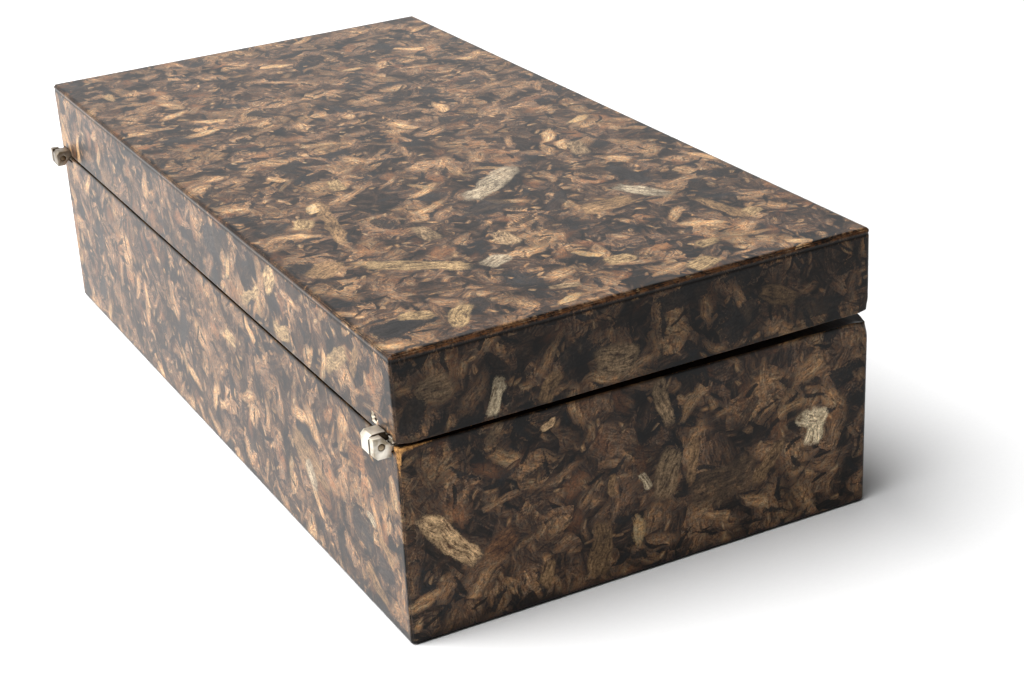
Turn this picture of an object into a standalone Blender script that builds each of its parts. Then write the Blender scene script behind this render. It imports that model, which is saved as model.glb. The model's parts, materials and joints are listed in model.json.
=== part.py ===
"""A long tea box with a shallow lid, hung on two small square-knuckled stop hinges.

The box stands on its base. Its long sides run along Y, its hinges are outside the side at -X,
and the origin is the middle of its underside. All sizes are in metres and angles in degrees.
The lid stands a little open, as its hinge leaves meet before its rim does.
"""

import math

import bmesh
import bpy
from mathutils import Matrix, Vector

# Base and lid, which share one plan
LENGTH = 0.240
WIDTH = 0.120
BASE_HEIGHT = 0.0472
LID_HEIGHT = 0.0204
SIDE_WALL = 0.008
FLOOR_THICKNESS = 0.006
LID_PANEL = 0.006
EDGE_ROUND = 0.0008
EDGE_SEGMENTS = 3
INNER_CORNER = 0.0015
RIM_EASE = 0.0005

# How the lid stands on the base
RIM_GAP = 0.0006
LID_AJAR = 0.75

# Hinges: two flat leaves let into the rims, each with a block of a knuckle outside the wall
LEAF_THICKNESS = 0.0012
LEAVES_APART = 0.0003
MORTISE_GAP = 0.0003
WALL_BEHIND_MORTISE = 0.0012
HINGE_INSET = 0.0023
BASE_KNUCKLE_LENGTH = 0.0019
LID_KNUCKLE_LENGTH = 0.0041
KNUCKLE_GAP = 0.0003
KNUCKLE_STAND_OFF = 0.0003

# A knuckle's metal round the pin, and its steps and cuts
PIN_RADIUS = 0.00075
PIN_CLEARANCE = 0.0001
PIN_SIDES = 24
METAL_OUTSIDE_PIN = 0.0011
METAL_INSIDE_PIN = 0.00135
SHOULDER = {"base": 0.00135, "lid": 0.00075}
OUTER_CHAMFER = 0.0008
SWING_CUT_ACROSS = 0.0019
SWING_CUT_ALONG = 0.0021

# Where the swinging wall comes to lie on the other leaf's knuckle, counted from rims that lie parallel
STOP_ANGLE = 95.0
STOP_GAP = 0.0001

# How far a cutter runs past the surface that it opens
PAST = 0.002

# Sizes and places that follow from the ones above
KNUCKLE_OUT = PIN_RADIUS + METAL_OUTSIDE_PIN
KNUCKLE_IN = PIN_RADIUS + METAL_INSIDE_PIN
WALL_FROM_AXIS = KNUCKLE_IN + KNUCKLE_STAND_OFF
AXIS_X = -(WIDTH / 2 + WALL_FROM_AXIS)
AXIS_Z = BASE_HEIGHT + RIM_GAP / 2
HINGE_LENGTH = BASE_KNUCKLE_LENGTH + KNUCKLE_GAP + LID_KNUCKLE_LENGTH
LEAF_DEPTH = SIDE_WALL - WALL_BEHIND_MORTISE - MORTISE_GAP
LEAF_NEAR = LEAVES_APART / 2
LEAF_FAR = LEAF_NEAR + LEAF_THICKNESS
HINGE_ENDS = {"left": -1, "right": 1}
UP = {"base": -1, "lid": 1}


def clear_scene():
    for item in list(bpy.data.objects):
        bpy.data.objects.remove(item)


def new_collection(name):
    collection = bpy.data.collections.new(name)
    bpy.context.scene.collection.children.link(collection)
    return collection


def new_material(name, colour, roughness, metallic=0.0):
    material = bpy.data.materials.new(name)
    material.use_nodes = True
    shader = material.node_tree.nodes["Principled BSDF"]
    shader.inputs["Base Color"].default_value = (*colour, 1.0)
    shader.inputs["Roughness"].default_value = roughness
    shader.inputs["Metallic"].default_value = metallic
    material.diffuse_color = (*colour, 1.0)
    return material


def place(mesh, name, collection, parent=None, at=(0, 0, 0)):
    item = bpy.data.objects.new(name, mesh)
    collection.objects.link(item)
    item.parent = parent
    item.location = at
    return item


def as_cutter(item):
    item.hide_render = True
    item.display_type = "WIRE"
    return item


def combine(target, other, operation):
    modifier = target.modifiers.new(f"{operation.lower()}_{other.name}", "BOOLEAN")
    modifier.operation = operation
    modifier.object = other


def block_mesh(name, low, high):
    """A plain block between two corners."""
    low, high = Vector(low), Vector(high)
    shape = bmesh.new()
    bmesh.ops.create_cube(shape, size=1.0)
    bmesh.ops.scale(shape, vec=high - low, verts=shape.verts)
    bmesh.ops.translate(shape, vec=(low + high) / 2, verts=shape.verts)
    mesh = bpy.data.meshes.new(name)
    shape.to_mesh(mesh)
    shape.free()
    return mesh


def cavity_mesh(name, depth):
    """The space inside a tray, its mouth up at height 0: rounded upright corners and an eased mouth."""
    across, along = WIDTH - 2 * SIDE_WALL, LENGTH - 2 * SIDE_WALL
    shape = bmesh.new()
    bmesh.ops.create_cube(shape, size=1.0)
    bmesh.ops.scale(shape, vec=(across, along, depth - RIM_EASE), verts=shape.verts)
    bmesh.ops.translate(shape, vec=(0, 0, -(depth + RIM_EASE) / 2), verts=shape.verts)
    upright = [e for e in shape.edges if abs(e.verts[0].co.z - e.verts[1].co.z) > RIM_EASE]
    bmesh.ops.bevel(
        shape, geom=upright, offset=INNER_CORNER, segments=EDGE_SEGMENTS, profile=0.5, affect="EDGES"
    )
    mouth = max(shape.faces, key=lambda face: face.calc_center_median().z)
    flared = ((across + 2 * RIM_EASE) / across, (along + 2 * RIM_EASE) / along, 1)
    for rise, spread in ((RIM_EASE, flared), (PAST, (1, 1, 1))):
        made = bmesh.ops.extrude_face_region(shape, geom=[mouth])["geom"]
        bmesh.ops.delete(shape, geom=[mouth], context="FACES_ONLY")
        mouth = next(g for g in made if isinstance(g, bmesh.types.BMFace))
        bmesh.ops.translate(shape, vec=(0, 0, rise), verts=mouth.verts)
        bmesh.ops.scale(shape, vec=spread, verts=mouth.verts)
    bmesh.ops.recalc_face_normals(shape, faces=shape.faces)
    mesh = bpy.data.meshes.new(name)
    shape.to_mesh(mesh)
    shape.free()
    return mesh


def outline_mesh(name, points, low_y, high_y):
    """A flat outline of X and Z points, made solid between two places along Y."""
    curve = bpy.data.curves.new(name, "CURVE")
    curve.dimensions = "2D"
    curve.fill_mode = "BOTH"
    curve.extrude = (high_y - low_y) / 2
    spline = curve.splines.new("POLY")
    spline.points.add(len(points) - 1)
    for point, (x, z) in zip(spline.points, points):
        point.co = (x, z, 0, 1)
    spline.use_cyclic_u = True
    drawn = bpy.data.objects.new(name, curve)
    bpy.context.scene.collection.objects.link(drawn)
    bpy.context.view_layer.update()
    mesh = bpy.data.meshes.new_from_object(drawn.evaluated_get(bpy.context.evaluated_depsgraph_get()))
    bpy.data.objects.remove(drawn)
    stand_up = Matrix.Translation((0, (low_y + high_y) / 2, 0)) @ Matrix.Rotation(math.radians(90), 4, "X")
    shape = bmesh.new()
    shape.from_mesh(mesh)
    bmesh.ops.remove_doubles(shape, verts=shape.verts, dist=1e-6)
    bmesh.ops.transform(shape, matrix=stand_up, verts=shape.verts)
    bmesh.ops.recalc_face_normals(shape, faces=shape.faces)
    shape.to_mesh(mesh)
    shape.free()
    return mesh


def rod_mesh(name, radius, low_y, high_y):
    """A round bar on the hinge axis, between two places along Y."""
    turn = Matrix.Translation((0, (low_y + high_y) / 2, 0)) @ Matrix.Rotation(math.radians(90), 4, "X")
    shape = bmesh.new()
    bmesh.ops.create_cone(
        shape,
        cap_ends=True,
        segments=PIN_SIDES,
        radius1=radius,
        radius2=radius,
        depth=high_y - low_y,
        matrix=turn,
    )
    bmesh.ops.recalc_face_normals(shape, faces=shape.faces)
    mesh = bpy.data.meshes.new(name)
    shape.to_mesh(mesh)
    shape.free()
    mesh.shade_smooth()
    mesh.set_sharp_from_angle(angle=math.radians(40))
    return mesh


def span(end, near, far):
    """Two distances in from one end of the box, as low and high places along Y."""
    places = [end * (LENGTH / 2 - distance) for distance in (near, far)]
    return min(places), max(places)


def tray(name, parts, cutters, material, parent, rim_z, height, floor, opens_up):
    """A base or lid: a rounded block, hollowed from its rim, whose height runs away from the rim."""
    away = -1 if opens_up else 1
    far_z = rim_z + away * height
    low = (-WIDTH / 2, -LENGTH / 2, min(rim_z, far_z))
    high = (WIDTH / 2, LENGTH / 2, max(rim_z, far_z))
    if parent:
        low, high = Vector(low) - parent.location, Vector(high) - parent.location
    body = place(block_mesh(name, low, high), name, parts, parent)
    body.data.materials.append(material)
    rounding = body.modifiers.new("rounded_edges", "BEVEL")
    rounding.width = EDGE_ROUND
    rounding.segments = EDGE_SEGMENTS
    rounding.limit_method = "ANGLE"

    mouth = Vector((0, 0, rim_z)) - (parent.location if parent else Vector())
    hollow = place(cavity_mesh(f"{name}_hollow", height - floor), f"{name}_hollow", cutters, parent, mouth)
    if not opens_up:
        hollow.rotation_euler.x = math.radians(180)
    combine(body, as_cutter(hollow), "DIFFERENCE")
    return body


def knuckle_other_side():
    """How far a knuckle reaches past the pin towards the other leaf, so that it stops the swing."""
    stop = math.radians(STOP_ANGLE)
    return (WALL_FROM_AXIS - STOP_GAP + KNUCKLE_OUT * math.cos(stop)) / math.sin(stop)


def leaf_outline(member):
    """A knuckle and the arm that joins it to its leaf's plate, seen along the pin.

    The knuckle is deep on its own leaf's side, and cut away where the other wall swings past it.
    """
    own_side = LEAF_FAR + SHOULDER[member]
    other_side = knuckle_other_side()
    arm_end = WALL_FROM_AXIS + LEAF_DEPTH / 2
    points = [
        (-KNUCKLE_OUT, own_side - OUTER_CHAMFER),
        (-KNUCKLE_OUT + OUTER_CHAMFER, own_side),
        (KNUCKLE_IN, own_side),
        (KNUCKLE_IN, LEAF_FAR),
        (arm_end, LEAF_FAR),
        (arm_end, LEAF_NEAR),
        (KNUCKLE_IN, LEAF_NEAR),
        (KNUCKLE_IN, SWING_CUT_ALONG - other_side),
        (KNUCKLE_IN - SWING_CUT_ACROSS, -other_side),
        (-KNUCKLE_OUT, -other_side),
    ]
    return [(x, UP[member] * z) for x, z in points]


def leaf(side, member, parts, cutters, material, parent):
    """One hinge leaf: its plate is let into the rim, and its knuckle stands outside the wall."""
    end = HINGE_ENDS[side]
    outer, inner = HINGE_INSET, HINGE_INSET + HINGE_LENGTH
    knuckle_y = {
        "base": span(end, outer, outer + BASE_KNUCKLE_LENGTH),
        "lid": span(end, inner - LID_KNUCKLE_LENGTH, inner),
    }[member]
    plate_y = span(end, outer, inner)
    name = f"{side}_hinge_{member}_leaf"

    knuckle = place(outline_mesh(name, leaf_outline(member), *knuckle_y), name, parts, parent)
    knuckle.data.materials.append(material)

    plate_z = sorted((UP[member] * LEAF_NEAR, UP[member] * LEAF_FAR))
    plate_mesh = block_mesh(
        f"{name}_plate",
        (WALL_FROM_AXIS, plate_y[0], plate_z[0]),
        (WALL_FROM_AXIS + LEAF_DEPTH, plate_y[1], plate_z[1]),
    )
    plate = as_cutter(place(plate_mesh, f"{name}_plate", cutters, parent))
    combine(knuckle, plate, "UNION")

    hole_mesh = rod_mesh(
        f"{name}_hole", PIN_RADIUS + PIN_CLEARANCE, knuckle_y[0] - PAST, knuckle_y[1] + PAST
    )
    hole = as_cutter(place(hole_mesh, f"{name}_hole", cutters, parent))
    combine(knuckle, hole, "DIFFERENCE")


def mortise(side, body, member, cutters, parent):
    """The pocket for a leaf's plate in a rim, open to the outside and to the rim's face."""
    pocket_y = span(
        HINGE_ENDS[side], HINGE_INSET - MORTISE_GAP, HINGE_INSET + HINGE_LENGTH + MORTISE_GAP
    )
    pocket_z = sorted((0.0, UP[member] * (LEAF_FAR + MORTISE_GAP)))
    name = f"{side}_{member}_mortise"
    pocket_mesh = block_mesh(
        name,
        (WALL_FROM_AXIS - PAST, pocket_y[0], pocket_z[0]),
        (WALL_FROM_AXIS + LEAF_DEPTH + MORTISE_GAP, pocket_y[1], pocket_z[1]),
    )
    combine(body, as_cutter(place(pocket_mesh, name, cutters, parent)), "DIFFERENCE")


def pin(side, parts, material, parent):
    """The hinge pin, as long as both knuckles and flush with their ends."""
    ends = span(HINGE_ENDS[side], HINGE_INSET, HINGE_INSET + HINGE_LENGTH)
    name = f"{side}_hinge_pin"
    item = place(rod_mesh(name, PIN_RADIUS, *ends), name, parts, parent)
    item.data.materials.append(material)


def axis_empty(name, collection, opening):
    """A frame on the hinge axis, turned open by an angle."""
    empty = bpy.data.objects.new(name, None)
    collection.objects.link(empty)
    empty.location = (AXIS_X, 0, AXIS_Z)
    empty.rotation_euler.y = math.radians(-opening)
    return empty


def build():
    clear_scene()
    parts = new_collection("tea_box")
    cutters = new_collection("cutters")
    flakes = new_material("lacquered_leaf_flakes", (0.115, 0.072, 0.045), 0.32)
    nickel = new_material("nickel_plated_leaf", (0.70, 0.68, 0.61), 0.34, 1.0)
    steel = new_material("steel_pin", (0.46, 0.42, 0.36), 0.42, 1.0)

    fixed_axis = axis_empty("fixed_axis", parts, 0.0)
    lid_axis = axis_empty("lid_axis", parts, LID_AJAR)

    base = tray("base", parts, cutters, flakes, None, BASE_HEIGHT, BASE_HEIGHT, FLOOR_THICKNESS, True)
    lid = tray(
        "lid", parts, cutters, flakes, lid_axis, BASE_HEIGHT + RIM_GAP, LID_HEIGHT, LID_PANEL, False
    )
    for side in HINGE_ENDS:
        mortise(side, base, "base", cutters, fixed_axis)
        mortise(side, lid, "lid", cutters, lid_axis)
        leaf(side, "base", parts, cutters, nickel, fixed_axis)
        leaf(side, "lid", parts, cutters, nickel, lid_axis)
        pin(side, parts, steel, fixed_axis)


build()
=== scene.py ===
"""The looks of the tea box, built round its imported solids: the flake covering with its worn
edges, the stained wood inside, the nickel hinges, and the studio that it stands in.
"""

import json
import math

import bmesh
import bpy
import numpy as np
from mathutils import Matrix, Vector, noise


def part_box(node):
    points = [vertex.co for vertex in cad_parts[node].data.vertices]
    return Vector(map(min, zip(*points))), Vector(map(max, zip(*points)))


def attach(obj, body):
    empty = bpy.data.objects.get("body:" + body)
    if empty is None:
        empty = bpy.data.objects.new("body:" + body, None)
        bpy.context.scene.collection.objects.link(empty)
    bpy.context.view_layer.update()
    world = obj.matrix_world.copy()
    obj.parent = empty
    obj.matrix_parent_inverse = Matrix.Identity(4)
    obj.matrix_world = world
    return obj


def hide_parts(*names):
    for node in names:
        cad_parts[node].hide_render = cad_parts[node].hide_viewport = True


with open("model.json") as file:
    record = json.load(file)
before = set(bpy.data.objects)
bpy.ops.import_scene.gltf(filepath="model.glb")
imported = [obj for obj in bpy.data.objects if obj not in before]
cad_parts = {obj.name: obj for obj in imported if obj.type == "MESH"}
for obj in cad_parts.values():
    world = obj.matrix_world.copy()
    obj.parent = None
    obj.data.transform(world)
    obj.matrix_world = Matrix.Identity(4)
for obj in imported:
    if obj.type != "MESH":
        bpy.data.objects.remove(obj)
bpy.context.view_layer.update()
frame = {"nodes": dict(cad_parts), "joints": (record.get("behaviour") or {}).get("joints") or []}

# The studio
# A pale matt table top that runs out of the picture, one large soft window at the left, a white
# wall behind, and nothing bright in front, so that the near end of the box stays dark.

MM = 0.001

CAMERA_PLACE = (-0.20081, -0.45146, 0.22808)
CAMERA_AZIMUTH = 26.94
CAMERA_ELEVATION = -23.73
CAMERA_ROLL = 2.97
CAMERA_LENS = 69.02
SENSOR_WIDTH = 36.0
CAMERA_NEAREST = 0.01

camera_data = bpy.data.cameras.new("camera")
camera_data.lens = CAMERA_LENS
camera_data.sensor_width = SENSOR_WIDTH
camera_data.clip_start = CAMERA_NEAREST
camera = bpy.data.objects.new("camera", camera_data)
bpy.context.scene.collection.objects.link(camera)
turn = (
    Matrix.Rotation(math.radians(-CAMERA_AZIMUTH), 4, "Z")
    @ Matrix.Rotation(math.radians(90 + CAMERA_ELEVATION), 4, "X")
    @ Matrix.Rotation(math.radians(-CAMERA_ROLL), 4, "Z")
)
camera.matrix_world = Matrix.Translation(CAMERA_PLACE) @ turn
bpy.context.scene.camera = camera
bpy.context.scene.view_settings.view_transform = "Standard"


def soft_light(name, place, aim, size, radiance):
    """A flat panel of even brightness, whose watts follow from its size and brightness."""
    data = bpy.data.lights.new(name, "AREA")
    data.shape = "RECTANGLE"
    data.size, data.size_y = size
    data.energy = radiance * math.pi * size[0] * size[1]
    panel = bpy.data.objects.new(name, data)
    bpy.context.scene.collection.objects.link(panel)
    towards = Vector(aim) - Vector(place)
    panel.matrix_world = Matrix.Translation(place) @ towards.to_track_quat("-Z", "Y").to_matrix().to_4x4()


soft_light("overhead_box", (-0.42, 0.15, 1.15), (-0.10, 0.10, 0.0), (1.3, 0.75), 8.9)
soft_light("left_wall", (-1.30, 0.38, 0.56), (0.0, 0.05, 0.03), (1.1, 0.9), 10.0)
soft_light("back_wall", (0.5, 2.0, 0.7), (0.0, 0.0, 0.25), (3.4, 1.3), 1.0)

WHITE = (1.0, 1.0, 1.0, 1.0)
ROOM_GLOW = 0.08

world = bpy.data.worlds.new("room")
world.use_nodes = True
world.node_tree.nodes["Background"].inputs["Color"].default_value = WHITE
world.node_tree.nodes["Background"].inputs["Strength"].default_value = ROOM_GLOW
bpy.context.scene.world = world


def linear(colour):
    """An sRGB hex colour as linear red, green, blue and a full alpha."""
    parts = [int(colour[i : i + 2], 16) / 255 for i in (1, 3, 5)]
    return (*[c / 12.92 if c <= 0.04045 else ((c + 0.055) / 1.055) ** 2.4 for c in parts], 1.0)


def first_output(node):
    """The output in use, as a Mix has one for each kind of data."""
    return next(socket for socket in node.outputs if socket.enabled)


def add(tree, kind, inputs=(), **settings):
    """Adds a node. Its inputs are values, sockets, or nodes whose first output is meant.

    They come by name, or in the order of the sockets in use: a MapRange's are its value, the two
    ends that it comes from and the two that it goes to, a Mix's are its factor and what it mixes, and
    a TexNoise's are its place, scale, detail and roughness. A kind without a Node is a shader node's.
    """
    node = tree.nodes.new(kind if "Node" in kind else "ShaderNode" + kind)
    for key, value in settings.items():
        setattr(node, key, value)
    in_use = [socket for socket in node.inputs if socket.enabled]
    for key, value in inputs.items() if isinstance(inputs, dict) else enumerate(inputs):
        if isinstance(key, int):
            socket = in_use[key]
        else:
            socket = next(s for s in in_use if key in (s.identifier, s.name))
        if isinstance(value, bpy.types.Node):
            value = first_output(value)
        if isinstance(value, bpy.types.NodeSocket):
            tree.links.new(value, socket)
        else:
            socket.default_value = value
    return node


def new_material(name):
    """An empty material with a Principled shader, and the tree that holds it."""
    material = bpy.data.materials.new(name)
    material.use_nodes = True
    return material, material.node_tree, material.node_tree.nodes["Principled BSDF"]


TABLE_SIZE = 8.0
TABLE_GRAIN_PER_M = 900.0
half = TABLE_SIZE / 2
table_mesh = bpy.data.meshes.new("table_top")
table_corners = [(-half, -half, 0), (half, -half, 0), (half, half, 0), (-half, half, 0)]
table_mesh.from_pydata(table_corners, [], [(0, 1, 2, 3)])
table = bpy.data.objects.new("table_top", table_mesh)
bpy.context.scene.collection.objects.link(table)

# Board painted matt white: even and without sheen, with a grain too fine to see
table_paint, tree, shader = new_material("matt_white_painted_board")
table_place = add(tree, "TexCoord").outputs["Object"]
table_grain = add(tree, "TexNoise", [table_place, TABLE_GRAIN_PER_M, 2.0])
table_colour = add(
    tree, "Mix", [table_grain.outputs["Fac"], linear("#e6e6e6"), linear("#eaeaea")], data_type="RGBA"
)
tree.links.new(first_output(table_colour), shader.inputs["Base Color"])
shader.inputs["Roughness"].default_value = 0.8
table_mesh.materials.append(table_paint)

# The base
# A long open tray of wood, covered outside in pressed leaf and bark flakes in a near-black binder,
# rubbed smooth and lacquered. It was made closed, and sawn through below the lid after covering.

EDGE_ROUND = 0.8 * MM
INNER_CORNER = 1.5 * MM
SIDE_WALL = 8.0 * MM
FLOOR = 6.0 * MM
LENGTH_STEPS = 180
WIDTH_STEPS = 84
BASE_STEPS = 44

base_low, base_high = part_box("base")
LENGTH = base_high.y - base_low.y
WIDTH = base_high.x - base_low.x
BASE_HEIGHT = base_high.z - base_low.z


def new_group(name, kind, inputs, outputs):
    """A node group with named inputs and outputs, and its input and output nodes."""
    tree = bpy.data.node_groups.new(name, kind)
    for label, what, default in inputs:
        socket = tree.interface.new_socket(label, in_out="INPUT", socket_type="NodeSocket" + what)
        if default is not None:
            socket.default_value = default
    for label, what in outputs:
        tree.interface.new_socket(label, in_out="OUTPUT", socket_type="NodeSocket" + what)
    return tree, tree.nodes.new("NodeGroupInput").outputs, tree.nodes.new("NodeGroupOutput").inputs


# A block with its edges rounded, its grid closer near the edges, and its surface worn inwards
block_tree, given, result = new_group(
    "worn_block",
    "GeometryNodeTree",
    [
        ("Half Size", "Vector", (0.06, 0.12, 0.024)),
        ("Steps Across", "Int", 20),
        ("Steps Along", "Int", 40),
        ("Steps Up", "Int", 10),
        ("Edge Round", "Float", 0.001),
        ("Ripple", "Float", 0.0),
        ("Edge Wear", "Float", 0.0),
        ("Lap", "Float", 0.0013),
        ("Lap Groove", "Float", 0.0),
        ("Seed", "Float", 0.0),
    ],
    [("Mesh", "Geometry")],
)
tree = block_tree
RIPPLE_SPACING = 28 * MM
WEAR_SPACING = 2.2 * MM
CLOSER_AT_EDGES = 0.8
GROOVE_HALF_WIDTH = 0.4 * MM
SEED_STEP = (1.7, 0.6, 2.3)
cube = add(
    tree,
    "GeometryNodeMeshCube",
    {
        "Size": (2.0, 2.0, 2.0),
        "Vertices X": given["Steps Across"],
        "Vertices Y": given["Steps Along"],
        "Vertices Z": given["Steps Up"],
    },
)
unit_place = add(tree, "GeometryNodeInputPosition")
quarter_turn = add(tree, "VectorMath", [unit_place, (math.pi / 2,) * 3], operation="MULTIPLY")
eased = add(tree, "VectorMath", [quarter_turn], operation="SINE")
spread = add(tree, "Mix", [CLOSER_AT_EDGES, unit_place, eased], data_type="VECTOR")
on_block = add(tree, "VectorMath", [spread, given["Half Size"]], operation="MULTIPLY")
round_everywhere = add(tree, "CombineXYZ", [given["Edge Round"]] * 3)
limit = add(tree, "VectorMath", [given["Half Size"], round_everywhere], operation="SUBTRACT")
lowest = add(tree, "VectorMath", [limit, (-1, -1, -1)], operation="MULTIPLY")
capped = add(tree, "VectorMath", [on_block, limit], operation="MINIMUM")
core = add(tree, "VectorMath", [capped, lowest], operation="MAXIMUM")
from_core = add(tree, "VectorMath", [on_block, core], operation="SUBTRACT")
outward = add(tree, "VectorMath", [from_core], operation="NORMALIZE")
seed_shift = add(tree, "VectorMath", [given["Seed"], SEED_STEP], operation="MULTIPLY")
seeded = add(tree, "VectorMath", [on_block, seed_shift], operation="ADD")
ripple = add(tree, "TexNoise", [seeded, 1 / RIPPLE_SPACING, 2.0]).outputs["Fac"]
ripple = add(tree, "Math", [ripple, given["Ripple"]], operation="MULTIPLY")
edge_wear = add(tree, "TexNoise", [seeded, 1 / WEAR_SPACING, 3.0]).outputs["Fac"]
apart = add(tree, "VectorMath", [outward], operation="ABSOLUTE")
turned = add(tree, "SeparateXYZ", [apart]).outputs
flattest = add(tree, "Math", [turned[0], turned[1]], operation="MAXIMUM")
flattest = add(tree, "Math", [flattest, turned[2]], operation="MAXIMUM")
on_edge = add(tree, "MapRange", [flattest, 1.0, math.cos(math.pi / 4), 0.0, 1.0])
edge_wear = add(tree, "Math", [edge_wear, on_edge], operation="MULTIPLY")
edge_wear = add(tree, "Math", [edge_wear, given["Edge Wear"]], operation="MULTIPLY")
worn_away = add(tree, "Math", [ripple, edge_wear], operation="ADD")

# Where the covering of the block's low end laps over its sides, a fine groove runs below the lap
height = add(tree, "SeparateXYZ", [on_block]).outputs[2]
half_height = add(tree, "SeparateXYZ", [given["Half Size"]]).outputs[2]
from_end = add(tree, "Math", [height, half_height], operation="ADD")
from_groove = add(tree, "Math", [from_end, given["Lap"]], operation="SUBTRACT")
from_groove = add(tree, "Math", [from_groove], operation="ABSOLUTE")
groove = add(tree, "MapRange", [from_groove, 0.0, GROOVE_HALF_WIDTH, given["Lap Groove"], 0.0])
worn_away = add(tree, "Math", [worn_away, groove], operation="ADD")
reach = add(tree, "Math", [given["Edge Round"], worn_away], operation="SUBTRACT")
step_out = add(tree, "VectorMath", [outward, reach], operation="SCALE")
worn_place = add(tree, "VectorMath", [core, step_out], operation="ADD")
worn = add(tree, "GeometryNodeSetPosition", {"Geometry": cube, "Position": worn_place})
tree.links.new(worn.outputs[0], result["Mesh"])

# A tray: the block less its hollow and its two hinge mortises, with bare wood wherever it is cut
tray_tree, given, result = new_group(
    "covered_tray",
    "GeometryNodeTree",
    [
        ("Size", "Vector", (0.12, 0.24, 0.047)),
        ("Steps Across", "Int", 20),
        ("Steps Along", "Int", 40),
        ("Steps Up", "Int", 10),
        ("Edge Round", "Float", 0.001),
        ("Wall", "Float", 0.008),
        ("Floor", "Float", 0.006),
        ("Inner Corner", "Float", 0.0015),
        ("Mortise Size", "Vector", (0.014, 0.0069, 0.0033)),
        ("Mortise Inset", "Float", 0.005),
        ("Sawn Off", "Float", 0.0005),
        ("Ripple", "Float", 0.0),
        ("Edge Wear", "Float", 0.0),
        ("Lap", "Float", 0.0013),
        ("Lap Groove", "Float", 0.0),
        ("Seed", "Float", 0.0),
        ("Covering", "Material", None),
        ("Bare Wood", "Material", None),
    ],
    [("Mesh", "Geometry")],
)
tree = tray_tree
SAW_PAST = 1.3 * MM
SAW_HALF_DEPTH = 2.0 * MM
COVERING_THICKNESS = 0.9 * MM
OUTER_INPUTS = (
    "Steps Across", "Steps Along", "Steps Up", "Edge Round",
    "Ripple", "Edge Wear", "Lap", "Lap Groove", "Seed",
)
half_size = add(tree, "VectorMath", [given["Size"], 0.5], operation="SCALE")
tray_height = add(tree, "SeparateXYZ", [given["Size"]]).outputs[2]
half_x, half_y, half_z = add(tree, "SeparateXYZ", [half_size]).outputs

# The block is made taller than the tray by what the saw takes, so its rim is left nearly sharp
taller = add(tree, "Math", [given["Sawn Off"], 0.5], operation="MULTIPLY")
taller = add(tree, "Math", [half_z, taller], operation="ADD")
outer_half = add(tree, "CombineXYZ", [half_x, half_y, taller])

# The hollow runs from the floor to as far again above the rim
hollow_x = add(tree, "Math", [half_x, given["Wall"]], operation="SUBTRACT")
hollow_y = add(tree, "Math", [half_y, given["Wall"]], operation="SUBTRACT")
hollow_z = add(tree, "Math", [tray_height, given["Floor"]], operation="SUBTRACT")
hollow_half = add(tree, "CombineXYZ", [hollow_x, hollow_y, hollow_z])

# What the saw takes: everything above the rim, a little past the walls
past_x = add(tree, "Math", [half_x, SAW_PAST], operation="ADD")
past_y = add(tree, "Math", [half_y, SAW_PAST], operation="ADD")
sawn_half = add(tree, "CombineXYZ", [past_x, past_y, SAW_HALF_DEPTH])
above_rim = add(tree, "Math", [tray_height, SAW_HALF_DEPTH], operation="ADD")

# Each block's half size, the height of its middle, and the rest of its inputs
blocks = []
for block_half, middle, values in (
    (outer_half, taller, {label: given[label] for label in OUTER_INPUTS}),
    (
        hollow_half,
        tray_height,
        {"Steps Across": 30, "Steps Along": 50, "Steps Up": 24, "Edge Round": given["Inner Corner"]},
    ),
    (
        sawn_half,
        above_rim,
        {
            "Steps Across": given["Steps Across"],
            "Steps Along": given["Steps Along"],
            "Steps Up": 2,
            "Edge Round": 0.0,
        },
    ),
):
    block = add(tree, "GeometryNodeGroup", {"Half Size": block_half, **values}, node_tree=block_tree)
    there = add(tree, "CombineXYZ", [0.0, 0.0, middle])
    blocks.append(add(tree, "GeometryNodeTransform", {"Geometry": block, "Translation": there}))
standing, hollow, sawn = blocks

# One mortise for each hinge leaf, in from each end, its middle on the rim and on the wall's outside
mortises = add(tree, "GeometryNodeJoinGeometry")
mortise_cube = add(tree, "GeometryNodeMeshCube", {"Size": given["Mortise Size"]})
outside = add(tree, "Math", [half_x, -1.0], operation="MULTIPLY")
from_middle = add(tree, "Math", [half_y, given["Mortise Inset"]], operation="SUBTRACT")
for end in (-1, 1):
    along = add(tree, "Math", [from_middle, end], operation="MULTIPLY")
    there = add(tree, "CombineXYZ", [outside, along, tray_height])
    mortise = add(tree, "GeometryNodeTransform", {"Geometry": mortise_cube, "Translation": there})
    tree.links.new(mortise.outputs[0], mortises.inputs[0])

cut = add(tree, "GeometryNodeMeshBoolean", operation="DIFFERENCE", solver="MANIFOLD")
tree.links.new(standing.outputs[0], cut.inputs["Mesh 1"])
for cutter in (mortises, hollow, sawn):
    tree.links.new(cutter.outputs[0], cut.inputs["Mesh 2"])
whole = add(tree, "GeometryNodeRealizeInstances", [cut.outputs["Mesh"]])
covered = add(tree, "GeometryNodeSetMaterial", {"Geometry": whole, "Material": given["Covering"]})

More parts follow.
